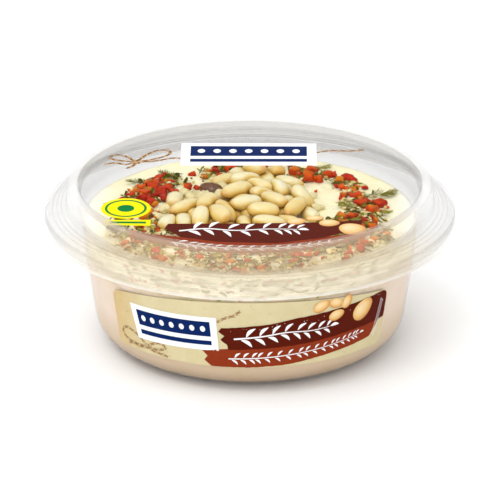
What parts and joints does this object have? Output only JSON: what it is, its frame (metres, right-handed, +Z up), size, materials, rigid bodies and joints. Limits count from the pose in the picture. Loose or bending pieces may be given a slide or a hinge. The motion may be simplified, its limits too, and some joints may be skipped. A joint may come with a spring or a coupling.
{
  "type": "tub of hummus with pine nuts",
  "caption": "Round clear tub of hummus topped with pine nuts, diced red pepper and herbs, closed by a clear wide-brimmed press-on lid, with a printed label.",
  "frame": {"origin": "centre of the flat ring that the tub stands on, at the lowest point of the part", "axes": "+Z up along the tub's round axis, -Y towards the front, where the label is, +X to the right of the label"},
  "size_m": [0.115, 0.115, 0.0459],
  "materials": {
    "clear_tub": "clear thin plastic, slightly warm",
    "hummus": "moist matt paste",
    "pine_nut": "oily satin kernel",
    "red_pepper": "moist diced pepper",
    "herb": "dried herb flakes",
    "clear_lid": "clear moulded plastic, hazy at the rim",
    "label_cream": "satin printed film",
    "print_white": "satin print",
    "print_brown": "satin print",
    "print_rust": "satin print",
    "print_yellow": "satin print",
    "print_blue": "satin print",
    "print_green": "satin print",
    "twine": "printed twine, two-ply look"
  },
  "bodies": {
    "root": {"tub": "clear_tub", "hummus": "hummus", "pine_nuts": "pine_nut", "lid": "clear_lid", "side_label": "label_cream", "side_plate": "print_white", "side_banner": "print_brown", "side_band": "print_rust", "lid_plate": "print_white", "lid_banner": "print_brown", "lid_band": "print_rust", "lid_badge": "print_yellow", "lid_badge_bar": "print_yellow"}
  },
  "joints": []
}
